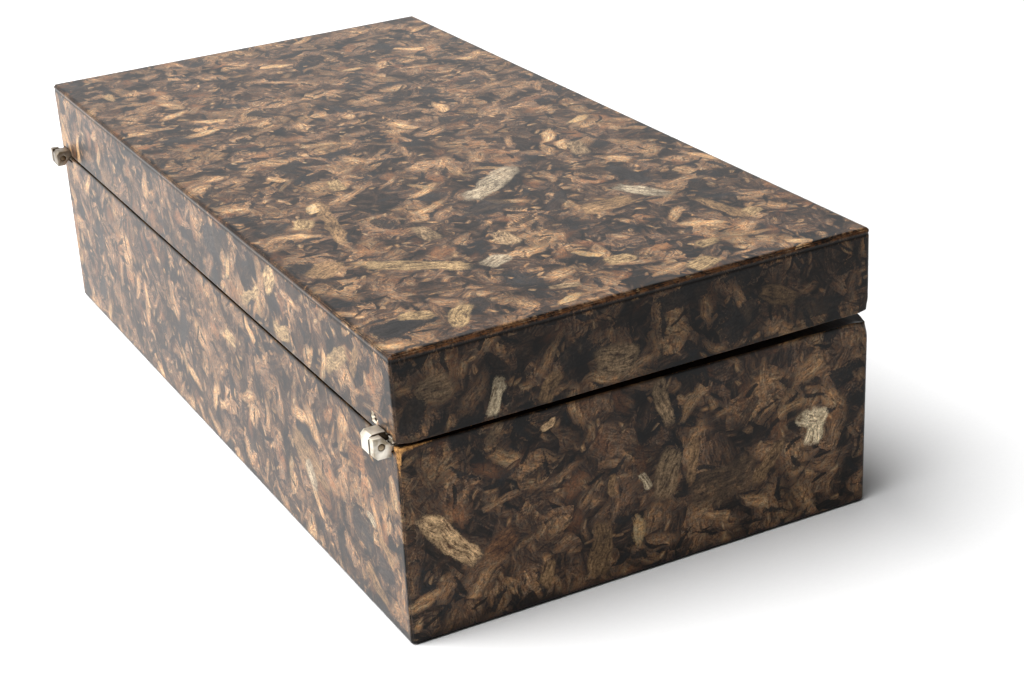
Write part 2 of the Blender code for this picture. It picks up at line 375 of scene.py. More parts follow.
# Bare: more than the covering's thickness in from all four sides, and off the underside
place = add(tree, "GeometryNodeInputPosition")
far_out = add(tree, "VectorMath", [place], operation="ABSOLUTE")
inside_by = add(tree, "VectorMath", [half_size, far_out], operation="SUBTRACT")
inside_by = add(tree, "SeparateXYZ", [inside_by]).outputs
above_foot = add(tree, "SeparateXYZ", [place]).outputs[2]
nearest = add(tree, "Math", [inside_by[0], inside_by[1]], operation="MINIMUM")
nearest = add(tree, "Math", [nearest, above_foot], operation="MINIMUM")
bare = add(
    tree,
    "FunctionNodeCompare",
    [nearest, COVERING_THICKNESS],
    data_type="FLOAT",
    operation="GREATER_THAN",
)
bared = add(
    tree,
    "GeometryNodeSetMaterial",
    {"Geometry": covered, "Selection": bare, "Material": given["Bare Wood"]},
)
tree.links.new(bared.outputs[0], result["Mesh"])


def made_by(tree, name, values):
    """Runs a geometry tree with these inputs, and returns its result as a plain mesh."""
    carrier = bpy.data.objects.new(name, bpy.data.meshes.new(name))
    bpy.context.scene.collection.objects.link(carrier)
    modifier = carrier.modifiers.new(name, "NODES")
    modifier.node_group = tree
    for item in tree.interface.items_tree:
        if item.item_type == "SOCKET" and item.in_out == "INPUT" and item.name in values:
            modifier[item.identifier] = values[item.name]
    bpy.context.view_layer.update()
    mesh = bpy.data.meshes.new_from_object(carrier.evaluated_get(bpy.context.evaluated_depsgraph_get()))
    bpy.data.objects.remove(carrier)
    mesh.name = name
    return mesh


# A flake: a torn slip of leaf or bark in each cell of a scatter, turned at random, with its own fibres
flake_tree, given, result = new_group(
    "scattered_flakes",
    "ShaderNodeTree",
    [
        ("Place", "Vector", (0, 0, 0)),
        ("Spacing", "Float", 8.0),
        ("Half Length", "Float", 5.0),
        ("Half Width", "Float", 2.0),
        ("Share", "Float", 0.5),
        ("Torn", "Float", 0.3),
        ("Tear", "Float", 0.0),
        ("Soft", "Float", 0.1),
        ("Fibre", "Float", 0.4),
        ("Shift", "Vector", (0, 0, 0)),
    ],
    [
        ("Inside", "Float"),
        ("Rim", "Float"),
        ("Grain", "Float"),
        ("Tone", "Float"),
    ],
)
tree = flake_tree
FIBRE_STRETCH = 7.0
CELLS_APART = 90.0
SLIMMEST, WIDEST = 0.55, 1.25
CORNERS_CUT = 0.72
CORNERS_EASED = 0.15
TEAR_DEPTH = 1.1
RIM_FROM = 0.55
shifted = add(tree, "VectorMath", [given["Place"], given["Shift"]], operation="ADD")
density = add(tree, "Math", [1.0, given["Spacing"]], operation="DIVIDE")
cells = add(
    tree,
    "TexVoronoi",
    {"Vector": shifted, "Scale": density, "Randomness": 1.0},
    voronoi_dimensions="2D",
    feature="F1",
)
chance = add(tree, "SeparateColor", [cells.outputs["Color"]]).outputs
in_cell = add(tree, "VectorMath", [shifted, cells.outputs["Position"]], operation="SUBTRACT")
angle = add(tree, "Math", [chance[0], math.tau], operation="MULTIPLY")
own = add(tree, "VectorRotate", {"Vector": in_cell, "Angle": angle}, rotation_type="Z_AXIS")
own = add(tree, "SeparateXYZ", [own]).outputs

# Its fibres run along it, far longer than they are wide
fibre_across = add(tree, "Math", [own[1], given["Fibre"]], operation="DIVIDE")
fibre_along = add(tree, "Math", [own[0], given["Fibre"]], operation="DIVIDE")
fibre_along = add(tree, "Math", [fibre_along, 1 / FIBRE_STRETCH], operation="MULTIPLY")
drawn_out = add(tree, "CombineXYZ", [fibre_along, fibre_across, 0.0])
cell_shift = add(tree, "CombineXYZ", [chance[2], chance[0], 0.0])
cell_shift = add(tree, "VectorMath", [cell_shift, CELLS_APART], operation="SCALE")
drawn_out = add(tree, "VectorMath", [drawn_out, cell_shift], operation="ADD")
grain = add(tree, "TexNoise", [drawn_out, 0.5, 3.0, 0.7], noise_dimensions="2D").outputs["Fac"]

# Its outline is a slip with cut-off corners, splintered by its fibres
along = add(tree, "Math", [own[0]], operation="ABSOLUTE")
across = add(tree, "Math", [own[1]], operation="ABSOLUTE")
along = add(tree, "Math", [along, given["Half Length"]], operation="DIVIDE")
slim = add(tree, "MapRange", [chance[2], 0.0, 1.0, SLIMMEST, WIDEST])
width = add(tree, "Math", [given["Half Width"], slim], operation="MULTIPLY")
across = add(tree, "Math", [across, width], operation="DIVIDE")
longest = add(tree, "Math", [along, across], operation="MAXIMUM")
both = add(tree, "Math", [along, across], operation="ADD")
both = add(tree, "Math", [both, CORNERS_CUT], operation="MULTIPLY")
out_by = add(tree, "Math", [longest, both, CORNERS_EASED], operation="SMOOTH_MAX")
torn = add(tree, "Math", [grain, 0.5], operation="SUBTRACT")
out_by = add(tree, "Math", [torn, given["Torn"], out_by], operation="MULTIPLY_ADD")
out_by = add(tree, "Math", [given["Tear"], TEAR_DEPTH, out_by], operation="MULTIPLY_ADD")
inner = add(tree, "Math", [1.0, given["Soft"]], operation="SUBTRACT")
shape = add(tree, "MapRange", [out_by, 1.0, inner, 0.0, 1.0], interpolation_type="SMOOTHSTEP")
rim = add(tree, "MapRange", [out_by, RIM_FROM, 1.0, 0.0, 1.0])
there = add(tree, "Math", [chance[1], given["Share"]], operation="LESS_THAN")
inside = add(tree, "Math", [shape, there], operation="MULTIPLY")
shown = {"Inside": inside.outputs[0], "Rim": rim.outputs[0], "Grain": grain, "Tone": chance[2]}
for label, value in shown.items():
    tree.links.new(value, result[label])

# The pressed covering: layers of flakes on a near-black binder, from the deepest to the topmost.
# Places are millimetres on each face, from the covering's own map.
cover_tree, given, result = new_group(
    "pressed_flakes",
    "ShaderNodeTree",
    [("Place", "Vector", (0, 0, 0))],
    [
        ("Colour", "Color"),
        ("Shade", "Float"),
        ("Tear", "Float"),
        ("Speckle", "Float"),
        ("Curled", "Vector"),
    ],
)
tree = cover_tree
FLAT_2D = {"noise_dimensions": "2D"}
WANDER = 2.8
RIM_SHADE = -0.12
LAYERS_APART = (31.7, 17.3)

# Each noise gives its waves in a millimetre, its detail and its roughness
WANDER_NOISE = (0.16, 2.0, 0.4)
FINE_NOISE = (1.8, 4.0, 0.75)
SPECKLE_NOISE = (0.75, 3.0, 0.6)
BROAD_NOISE = (0.09, 3.0)
DRIFT_NOISE = (0.7, 4.0, 0.7)

# Each range gives a noise's low and high, and where it is more than a share, the tone at each
SPECKLE_RANGE = (0.36, 0.58)
FINE_TONES = (0.3, 0.7, 0.4, 1.6)
BROAD_TONES = (0.3, 0.7, 0.6, 1.35)
DRIFT_RANGE = (0.38, 0.62)
wander = add(tree, "TexNoise", [given["Place"], *WANDER_NOISE], **FLAT_2D).outputs["Color"]
wander = add(tree, "SeparateColor", [wander]).outputs
wander = add(tree, "CombineXYZ", [wander[0], wander[1], 0.5])
wander = add(tree, "VectorMath", [wander, (0.5, 0.5, 0.5)], operation="SUBTRACT")
wander = add(tree, "VectorMath", [wander, WANDER], operation="SCALE")
curled = add(tree, "VectorMath", [given["Place"], wander], operation="ADD")
fine = add(tree, "TexNoise", [given["Place"], *FINE_NOISE], **FLAT_2D).outputs["Fac"]
tear = add(tree, "Math", [fine, 0.5], operation="SUBTRACT")

BARK = ["#0e0b0a", "#1b1613", "#2e231c", "#47362a", "#634c39", "#826548", "#a3835d", "#c6a678"]
BLACK_LEAF = ["#090a0b", "#121314", "#1e1d1d", "#302c29", "#4a4138"]
RED_BARK = ["#19110d", "#362318", "#583a27", "#7b5639", "#9c774f"]
PALE_BARK = ["#5c4933", "#8a7050", "#a98c63", "#bfa279", "#d0b68e"]
FLAKE_LAYERS = [
    # name, spacing, half length and width, share, torn, soft, cover, fibre, tone from and to, grain, colours
    ("felted fibre", 6.0, 8.0, 3.6, 1.00, 1.1, 0.60, 1.00, 0.44, 0.10, 0.64, 1.00, BARK),
    ("brown leaf", 11.0, 9.0, 4.8, 0.85, 1.1, 0.35, 0.88, 0.38, 0.10, 0.72, 0.95, BARK),
    ("small shreds", 3.6, 3.4, 1.3, 0.70, 1.4, 0.60, 0.74, 0.30, 0.05, 0.76, 1.10, BARK),
    ("black leaf", 10.0, 8.0, 3.6, 0.40, 1.3, 0.45, 0.92, 0.40, 0.10, 0.58, 0.65, BLACK_LEAF),
    ("mid bark", 8.5, 6.4, 2.6, 0.52, 1.2, 0.35, 0.86, 0.32, 0.25, 0.76, 0.95, BARK),
    ("red bark", 9.0, 5.0, 2.4, 0.30, 1.4, 0.60, 0.65, 0.34, 0.20, 0.75, 0.85, RED_BARK),
    ("fine shreds", 2.2, 2.1, 0.6, 0.50, 1.4, 0.60, 0.68, 0.26, 0.05, 0.80, 1.15, BARK),
    ("black strip", 5.5, 4.8, 0.9, 0.36, 1.4, 0.50, 0.90, 0.40, 0.00, 0.50, 0.55, BLACK_LEAF),
    ("tan strip", 10.0, 7.0, 1.6, 0.28, 1.1, 0.30, 0.88, 0.26, 0.56, 0.82, 1.00, BARK),
    ("pale bark", 21.0, 4.6, 1.8, 0.18, 0.9, 0.30, 0.90, 0.34, 0.00, 0.70, 0.75, PALE_BARK),
]
colour = None
for index, row in enumerate(FLAKE_LAYERS):
    label, spacing, long, wide, share, torn, soft, cover, fibre, darkest, lightest, contrast, colours = row
    values = {
        "Place": curled,
        "Spacing": spacing,
        "Half Length": long,
        "Half Width": wide,
        "Share": share,
        "Torn": torn,
        "Tear": tear,
        "Soft": soft,
        "Fibre": fibre,
        "Shift": (LAYERS_APART[0] * index, LAYERS_APART[1] * index, 0.0),
    }
    flakes = add(tree, "Group", values, node_tree=flake_tree, label=label)
    tone = add(tree, "MapRange", [flakes.outputs["Tone"], 0.0, 1.0, darkest, lightest])
    grain = add(tree, "Math", [flakes.outputs["Grain"], 0.5], operation="SUBTRACT")
    mixed = add(tree, "Math", [grain, contrast, tone], operation="MULTIPLY_ADD")
    mixed = add(tree, "Math", [flakes.outputs["Rim"], RIM_SHADE, mixed], operation="MULTIPLY_ADD")
    ramp = add(tree, "ValToRGB", {"Fac": mixed})
    stops = ramp.color_ramp.elements
    while len(stops) < len(colours):
        stops.new(0.5)
    for k, hex_colour in enumerate(colours):
        stops[k].position = k / (len(colours) - 1)
        stops[k].color = linear(hex_colour)
    if colour is None:
        colour = ramp.outputs["Color"]
    else:
        shown = add(tree, "Math", [flakes.outputs["Inside"], cover], operation="MULTIPLY")
        colour = add(tree, "Mix", [shown, colour, ramp.outputs["Color"]], data_type="RGBA")
speckle = add(tree, "TexNoise", [given["Place"], *SPECKLE_NOISE], **FLAT_2D).outputs["Fac"]
speckle = add(tree, "MapRange", [speckle, *SPECKLE_RANGE])
fine_range = add(tree, "MapRange", [fine, *FINE_TONES])
broad = add(tree, "TexNoise", [curled, *BROAD_NOISE], **FLAT_2D).outputs["Fac"]
broad_range = add(tree, "MapRange", [broad, *BROAD_TONES])
shade = add(tree, "Math", [fine_range, broad_range], operation="MULTIPLY")

# Its colour drifts between a cold grey and rust from one millimetre to the next
COLD = (0.84, 0.96, 1.10, 1.0)
RUSTY = (1.14, 0.99, 0.85, 1.0)
drift = add(tree, "TexNoise", [given["Place"], *DRIFT_NOISE], **FLAT_2D).outputs["Fac"]
drift = add(tree, "MapRange", [drift, *DRIFT_RANGE])
tint = add(tree, "Mix", [drift, COLD, RUSTY], data_type="RGBA")
tinted = add(tree, "Mix", [1.0, colour, tint], data_type="RGBA", blend_type="MULTIPLY")
shown = {"Colour": tinted, "Shade": shade, "Tear": tear, "Speckle": speckle, "Curled": curled}
for label, node in shown.items():
    tree.links.new(first_output(node), result[label])

# The largest flakes, each where it lies on the real box, as millimetres on its face
FACE_SHIFT = (331.0, 231.7)
FACES = ("hinge side", "free side", "front", "far end", "underside", "top")
# Painted light and shade on each face, as its tone low down and high up: the front painted darker towards
# the lid, the top and the hinge side lighter
FACE_PAINTED_LIGHT = {"front": (0.97, 0.55), "top": (1.15, 1.15), "hinge side": (1.14, 1.14)}
LARGE_FLAKE_COLOURS = {
    "black": ("#0d0d0e", "#2a2726"),
    "brown": ("#2c2119", "#6a543d"),
    "red": ("#33211a", "#7c5434"),
    "grey": ("#33271c", "#9a8060"),
    "tan": ("#3c2d20", "#8c6e4c"),
    "cream": ("#563d2a", "#efc896"),
    "white": ("#67533c", "#e2cfab"),
    "straw": ("#453525", "#a1865f"),
    "ash": ("#4a4034", "#9b8c74"),
}
LARGE_FLAKES = {
    # middle across and up the face, turn, half length, half width, cover, colours
    "front": [
        ((20.0, 16.5), 8, 9.5, 5.0, 0.55, "brown"),
        ((-49.6, 22.8), -48, 10.0, 2.7, 1.00, "cream"),
        ((45.2, 24.2), 76, 4.6, 2.8, 0.95, "white"),
        ((43.4, 26.0), -24, 3.6, 2.2, 0.95, "white"),
        ((4.8, 23.0), 75, 6.6, 3.3, 0.80, "grey"),
        ((-1.3, 23.4), -62, 2.5, 1.2, 1.00, "white"),
        ((-26.4, 7.4), 68, 3.8, 1.7, 0.90, "tan"),
        ((-12.8, 9.0), 80, 7.0, 3.0, 0.85, "tan"),
        ((4.0, 41.0), -74, 6.6, 1.9, 0.85, "grey"),
        ((11.6, 24.6), 82, 6.0, 1.4, 0.80, "tan"),
        ((32.2, 18.4), 54, 6.6, 1.7, 0.85, "tan"),
        ((-37.2, 18.2), 35, 4.4, 2.6, 0.70, "red"),
        ((-9.2, 24.0), 80, 2.8, 1.1, 0.85, "tan"),
        ((-24.8, 43.4), 20, 1.6, 1.0, 1.00, "cream"),
        ((-37.4, 45.6), 72, 2.6, 1.4, 0.60, "grey"),
        ((-36.6, 53.0), 72, 4.6, 1.6, 0.85, "white"),
        ((-7.4, 53.6), -6, 5.6, 3.7, 0.80, "grey"),
        ((-51.0, 58.6), 10, 4.2, 3.4, 0.65, "grey"),
        ((35.0, 58.2), -24, 6.0, 2.0, 0.80, "tan"),
        ((-23.6, 51.8), 60, 3.8, 1.8, 0.80, "tan"),
        ((10.0, 64.2), 8, 7.0, 2.6, 0.85, "black"),
        ((-56.0, 53.5), 60, 4.6, 3.0, 0.85, "black"),
        ((24.5, 54.6), 40, 6.0, 3.0, 0.80, "black"),
        ((45.5, 52.6), -10, 7.0, 2.6, 0.80, "black"),
        ((-17.0, 58.0), 30, 5.0, 2.6, 0.80, "black"),
    ],
    "top": [
        ((-52.0, -107.5), 10, 7.0, 4.2, 0.95, "black"),
        ((-33.4, -106.8), 50, 5.0, 2.6, 0.85, "black"),
        ((-38.7, -110.0), 58, 6.2, 2.3, 1.00, "straw"),
        ((4.7, -102.5), 10, 3.6, 2.4, 1.00, "straw"),
        ((18.3, -115.0), 25, 4.2, 3.0, 1.00, "straw"),
        ((-12.8, -108.6), -10, 3.9, 1.4, 0.90, "grey"),
        ((26.0, -105.6), 15, 3.7, 1.9, 0.95, "straw"),
        ((44.5, -95.0), 30, 3.5, 2.3, 0.95, "straw"),
        ((40.5, -89.0), 98, 9.5, 1.9, 0.80, "tan"),
        ((-34.0, -79.0), -38, 12.5, 2.6, 0.95, "straw"),
        ((5.0, -40.5), 39, 13.0, 3.6, 0.85, "ash"),
        ((31.7, -67.5), -62, 7.8, 2.6, 0.95, "ash"),
        ((35.0, -55.0), 98, 9.0, 2.5, 0.90, "black"),
        ((20.0, -71.0), 0, 7.4, 3.6, 0.85, "tan"),
        ((11.7, -61.7), 50, 7.4, 2.2, 0.85, "black"),
        ((-44.7, -39.0), 60, 3.6, 2.6, 0.95, "straw"),
        ((-39.0, -42.0), 78, 16.0, 1.8, 0.90, "tan"),
        ((-27.2, -18.0), 80, 4.4, 2.0, 0.95, "straw"),
        ((35.5, -30.0), 75, 5.6, 2.6, 0.85, "grey"),
        ((-4.0, -54.7), 15, 6.6, 4.2, 0.85, "black"),
        ((-23.3, -62.0), 88, 5.2, 2.0, 0.90, "grey"),
        ((-18.3, -86.7), 30, 3.6, 2.7, 0.90, "ash"),
        ((-46.2, -104.2), -20, 3.8, 2.5, 0.90, "straw"),
        ((-52.0, -69.0), 40, 5.2, 3.8, 0.80, "tan"),
        ((-9.7, -75.8), 80, 4.8, 2.4, 0.85, "grey"),
    ],
    "hinge side": [
        ((-91.0, 56.8), -32, 8.0, 2.2, 0.80, "straw"),
        ((-101.0, 60.5), -62, 4.6, 1.6, 0.80, "tan"),
        ((-58.0, 51.6), -5, 5.4, 2.0, 0.85, "straw"),
        ((-53.7, 63.2), -40, 4.6, 2.8, 0.85, "straw"),
        ((-39.4, 54.4), -32, 8.4, 1.5, 0.85, "straw"),
        ((-15.6, 61.0), -25, 7.5, 4.0, 0.90, "black"),
        ((-68.7, 21.7), 25, 11.0, 4.4, 0.75, "tan"),
        ((-68.9, 18.8), 60, 3.8, 2.5, 0.90, "ash"),
        ((-103.0, 6.8), 25, 5.8, 2.0, 0.85, "tan"),
        ((-109.0, 13.0), 0, 4.5, 3.0, 0.90, "black"),
        ((-103.2, 23.4), 30, 2.6, 1.3, 0.95, "ash"),
        ((-110.0, 18.4), 30, 4.2, 1.5, 0.85, "tan"),
        ((-19.6, 35.9), 0, 4.0, 2.4, 0.85, "straw"),
        ((-75.0, 16.8), 20, 3.8, 2.1, 0.80, "red"),
        ((-97.5, 16.8), 25, 5.6, 3.0, 0.85, "black"),
        ((-97.2, 36.1), -10, 5.0, 2.8, 0.75, "red"),
    ],
}
LARGE_FIBRE = 0.3
LARGE_CORNERS_CUT = 0.6
LARGE_TEAR_DEPTH = 0.7
WORN_CORNER = (-WIDTH / 2, -LENGTH / 2, BASE_HEIGHT)

# The lap's two colours on a face, and how strongly it shows at the hinge side and at the free side
LAP = {
    "front": (("#2c1b10", "#70482a"), 0.65, 0.35),
    "hinge side": (("#17110d", "#33241a"), 0.55, 0.55),
}
large_tree, given, result = new_group(
    "large_flake",
    "ShaderNodeTree",
    [
        ("Across Face", "Float", 0.0),
        ("Up Face", "Float", 0.0),
        ("Tear", "Float", 0.0),
        ("Cosine", "Float", 1.0),
        ("Sine", "Float", 0.0),
        ("Middle Lengthways", "Float", 0.0),
        ("Middle Sideways", "Float", 0.0),
        ("Half Length", "Float", 5.0),
        ("Half Width", "Float", 2.0),
        ("Cover", "Float", 1.0),
    ],
    [("Inside", "Float"), ("Lengthways", "Float"), ("Sideways", "Float")],
)
tree = large_tree
across_face, up_face, cosine, sine = (given[label] for label in ("Across Face", "Up Face", "Cosine", "Sine"))
part = add(tree, "Math", [up_face, sine], operation="MULTIPLY")
lengthways = add(tree, "Math", [across_face, cosine, part], operation="MULTIPLY_ADD")
part = add(tree, "Math", [across_face, sine], operation="MULTIPLY")
turned_up = add(tree, "Math", [up_face, cosine], operation="MULTIPLY")
sideways = add(tree, "Math", [turned_up, part], operation="SUBTRACT")
out_each_way = []
for way, label, half_label in (
    (lengthways, "Middle Lengthways", "Half Length"),
    (sideways, "Middle Sideways", "Half Width"),
):
    out = add(tree, "Math", [way, given[label]], operation="SUBTRACT")
    out = add(tree, "Math", [out], operation="ABSOLUTE")
    out_each_way.append(add(tree, "Math", [out, given[half_label]], operation="DIVIDE"))
longest = add(tree, "Math", out_each_way, operation="MAXIMUM")
both = add(tree, "Math", out_each_way, operation="ADD")
both = add(tree, "Math", [both, LARGE_CORNERS_CUT], operation="MULTIPLY")
out_by = add(tree, "Math", [longest, both], operation="MAXIMUM")
out_by = add(tree, "Math", [given["Tear"], LARGE_TEAR_DEPTH, out_by], operation="MULTIPLY_ADD")
inside = add(tree, "MapRange", [out_by, 1.0, 0.85, 0.0, given["Cover"]])
for label, node in (("Inside", inside), ("Lengthways", lengthways), ("Sideways", sideways)):
    tree.links.new(node.outputs[0], result[label])

GRAIN_CONTRAST = 2.4
GRAIN_LIGHTNESS = 0.30
SPECKLE_CONTRAST = 0.36
# Where the painted shade on the front starts and where it is deepest, in millimetres up the face
PAINTED_SHADE_FROM = 38.0
PAINTED_SHADE_DEEPEST_AT = 58.0
RAGGED = 1.6
PATCHY = (0.6, 0.4)
JOINT_BELOW_TOP = 1.55
EDGE_KEPT = 0.08

# Each gives two distances, and the tone or the share at the one and at the other
# Painted shade at the foot, where the box stands on the table
PAINTED_SHADE_AT_FOOT = (0.3 * MM, 1.4 * MM, 0.3, 1.0)
# Painted shade in the seam along the opening between base and lid
PAINTED_SHADE_AT_OPENING = (0.3 * MM, 0.9 * MM, 0.4, 1.0)
PAINTED_SHADE_AT_OPENING_IN_FRONT = (0.3 * MM, 0.9 * MM, 0.75, 1.0)
AT_HANDLED_EDGE = (0.4, 1.6, 0.55, 1.0)
AT_WORN_CORNER = (2 * MM, 9 * MM, 1.0, 0.0)
RUBBED_THROUGH = (0.0, 0.25, 0.0, 1.0)
LAP_ENDS = (1.2, 0.95, 0.0)
IN_JOINT = (0.42, 0.22, 0.0, 0.92)
IN_CHIP = (0.02, 0.12, 0.0, 1.0)
# Painted shade in the chip's hollow
SHADE_IN_CHIP_HOLE = (0.3, 0.45, 0.0, 1.0)


def covering(name, face):
    """Pressed leaf flakes under satin lacquer, rubbed down: dark and mottled, with a soft grazing sheen, and
    painted light and shade by face, at the foot and along the opening.
    """
    material, tree, shader = new_material(name)
    place = add(tree, "UVMap", uv_map="flake_mm")
    pressed = add(tree, "Group", {"Place": place}, node_tree=cover_tree).outputs
    speckle = pressed["Speckle"]
    on_face = add(tree, "SeparateXYZ", [pressed["Curled"]]).outputs
    own_place = [on_face[0], on_face[1]]
    number = FACES.index(face)
    face_foot = FACE_SHIFT[1] * number
    masks = {}
    for middle, turned_by, long, wide, cover, hue in LARGE_FLAKES.get(face, ()):
        across, up = middle[0] + FACE_SHIFT[0] * (number + 1), middle[1] + face_foot
        cosine, sine = math.cos(math.radians(turned_by)), math.sin(math.radians(turned_by))
        values = {
            "Across Face": on_face[0],
            "Up Face": on_face[1],
            "Tear": pressed["Tear"],
            "Cosine": cosine,
            "Sine": sine,
            "Middle Lengthways": across * cosine + up * sine,
            "Middle Sideways": up * cosine - across * sine,
            "Half Length": long,
            "Half Width": wide,
            "Cover": cover,
        }
        flake = add(tree, "Group", values, node_tree=large_tree)
        inside = flake.outputs["Inside"]
        for k, label in enumerate(("Lengthways", "Sideways")):
            mixed = add(tree, "Mix", [inside, own_place[k], flake.outputs[label]], data_type="FLOAT")
            own_place[k] = first_output(mixed)
        if hue in masks:
            inside = add(tree, "Math", [masks[hue], inside], operation="MAXIMUM").outputs[0]
        masks[hue] = inside
    drawn_out = add(tree, "Math", [own_place[0], FIBRE_STRETCH], operation="DIVIDE")
    own_place = add(tree, "CombineXYZ", [drawn_out, own_place[1], 0.0])
    grain = add(tree, "TexNoise", [own_place, 0.5 / LARGE_FIBRE, 3.0, 0.65], **FLAT_2D).outputs["Fac"]
    grain = add(tree, "Math", [grain, 0.5], operation="SUBTRACT")
    lightness = add(tree, "Math", [grain, GRAIN_CONTRAST, GRAIN_LIGHTNESS], operation="MULTIPLY_ADD")
    lightness = add(
        tree, "Math", [speckle, SPECKLE_CONTRAST, lightness], operation="MULTIPLY_ADD", use_clamp=True
    )
    colour = pressed["Colour"]
    for hue, mask in masks.items():
        dark, light = map(linear, LARGE_FLAKE_COLOURS[hue])
        own_colour = add(tree, "Mix", [lightness, dark, light], data_type="RGBA")
        colour = add(tree, "Mix", [mask, colour, own_colour], data_type="RGBA")

    # Painted shade on the front towards the lid, at the foot and in the seam along the opening; darker where
    # hands rub the edges
    # Painted light and shade by face: the front darker towards the lid, the top and the hinge side lighter
    painted_face_light = FACE_PAINTED_LIGHT.get(face, (1.0, 1.0))
    height = add(tree, "MapRange", [on_face[1], face_foot + PAINTED_SHADE_FROM, face_foot + PAINTED_SHADE_DEEPEST_AT, *painted_face_light])
    object_place = add(tree, "TexCoord").outputs["Object"]
    on_object = add(tree, "SeparateXYZ", [object_place]).outputs
    # Painted shade along the foot, where the box meets the table
    foot_shade = add(tree, "MapRange", [on_object[2], *PAINTED_SHADE_AT_FOOT])
    tone = add(tree, "Math", [pressed["Shade"], height], operation="MULTIPLY")
    tone = add(tree, "Math", [tone, foot_shade], operation="MULTIPLY")
    # Painted shade in the seam along the opening between base and lid
    from_opening = add(tree, "Math", [on_object[2], BASE_HEIGHT], operation="SUBTRACT")
    from_opening = add(tree, "Math", [from_opening], operation="ABSOLUTE")
    seam_shade_range = PAINTED_SHADE_AT_OPENING_IN_FRONT if face == "front" else PAINTED_SHADE_AT_OPENING
    seam_shade = add(tree, "MapRange", [from_opening, *seam_shade_range])
    tone = add(tree, "Math", [tone, seam_shade], operation="MULTIPLY")
    edge = add(tree, "SeparateXYZ", [add(tree, "UVMap", uv_map="edge_mm")]).outputs
    handled = add(tree, "MapRange", [edge[0], *AT_HANDLED_EDGE])
    tone = add(tree, "Math", [tone, handled], operation="MULTIPLY")
    toned = add(tree, "VectorMath", [colour, tone], operation="SCALE")
    ragged = add(tree, "Math", [pressed["Tear"], RAGGED], operation="MULTIPLY")
    from_edge = add(tree, "Math", [edge[0], ragged], operation="ADD")
    from_top = add(tree, "Math", [edge[1], ragged], operation="ADD")

    # The base's corner by the near hinge is rubbed through to the wood
    from_corner = add(tree, "VectorMath", [object_place, WORN_CORNER], operation="DISTANCE")
    at_corner = add(tree, "MapRange", [from_corner, *AT_WORN_CORNER])
    on_base = add(tree, "Math", [on_object[2], BASE_HEIGHT + 0.3 * MM], operation="LESS_THAN")
    at_corner = add(tree, "Math", [at_corner, on_base], operation="MULTIPLY")
    reach = add(tree, "Math", [at_corner, 1.0, -EDGE_KEPT], operation="MULTIPLY_ADD")
    rubbed = add(tree, "Math", [reach, from_edge], operation="SUBTRACT")
    rubbed = add(tree, "MapRange", [rubbed, *RUBBED_THROUGH])
    wood = add(tree, "Mix", [speckle, linear("#6e4a28"), linear("#b98a54")], data_type="RGBA")
    worn = add(tree, "Mix", [rubbed, toned, wood], data_type="RGBA")

    # The top's covering laps a millimetre over the sides: a brown strip, with a dark joint under it
    lap_colours, lap_from, lap_to = LAP.get(face, LAP["hinge side"])
    lap_shows = add(tree, "MapRange", [on_object[0], -WIDTH / 4, WIDTH / 4, lap_from, lap_to])
    patches = add(tree, "Math", [speckle, *PATCHY], operation="MULTIPLY_ADD")
    lap_shows = add(tree, "Math", [lap_shows, patches], operation="MULTIPLY")
    lap = add(tree, "MapRange", [from_top, *LAP_ENDS, lap_shows])
    lap_colour = add(tree, "Mix", [speckle, *map(linear, lap_colours)], data_type="RGBA")
    lapped = add(tree, "Mix", [lap, worn, lap_colour], data_type="RGBA")
    from_joint = add(tree, "Math", [edge[1], JOINT_BELOW_TOP], operation="SUBTRACT")
    from_joint = add(tree, "Math", [from_joint], operation="ABSOLUTE")
    joint = add(tree, "Math", [from_joint, ragged], operation="ADD")
    joint = add(tree, "MapRange", [joint, *IN_JOINT])
    jointed = add(tree, "Mix", [joint, lapped, linear("#0c0806")], data_type="RGBA")

    # The chip: pale where the covering tore, and painted shade, near black, in its hollow
    chipped = add(tree, "Attribute", attribute_name="chipped").outputs["Fac"]
    broken = add(tree, "MapRange", [chipped, *IN_CHIP])
    hole_shade = add(tree, "MapRange", [chipped, *SHADE_IN_CHIP_HOLE])
    inside_chip = add(tree, "Mix", [hole_shade, linear("#c9bda9"), linear("#1a110b")], data_type="RGBA")
    chip = add(tree, "Mix", [broken, jointed, inside_chip], data_type="RGBA")
    tree.links.new(first_output(chip), shader.inputs["Base Color"])
    bump = add(tree, "Bump", {"Strength": 0.15, "Distance": 0.05 * MM, "Height": pressed["Tear"]})
    tree.links.new(bump.outputs[0], shader.inputs["Normal"])
    shader.inputs["Roughness"].default_value = 0.34
    shader.inputs["IOR"].default_value = 1.24
    return material


PORES_PER_M = (1500, 60, 1500)


def stained_wood(name):
    """Close-grained wood, planed and stained dark brown, unlacquered: even and dull, with fine pores."""
    material, tree, shader = new_material(name)
    place = add(tree, "TexCoord").outputs["Object"]
    drawn = add(tree, "VectorMath", [place, PORES_PER_M], operation="MULTIPLY")
    grain = add(tree, "TexNoise", {"Vector": drawn, "Scale": 1.0, "Detail": 4.0, "Distortion": 0.6})
    ramp = add(tree, "ValToRGB", {"Fac": grain.outputs["Fac"]})
    for stop, where, hex_colour in zip(ramp.color_ramp.elements, (0.35, 0.7), ("#1b120c", "#3d291b")):
        stop.position = where
        stop.color = linear(hex_colour)
    tree.links.new(ramp.outputs["Color"], shader.inputs["Base Color"])
    bump = add(tree, "Bump", {"Strength": 0.3, "Distance": 0.1 * MM, "Height": grain.outputs["Fac"]})
    tree.links.new(bump.outputs[0], shader.inputs["Normal"])
    shader.inputs["Roughness"].default_value = 0.62
    return material


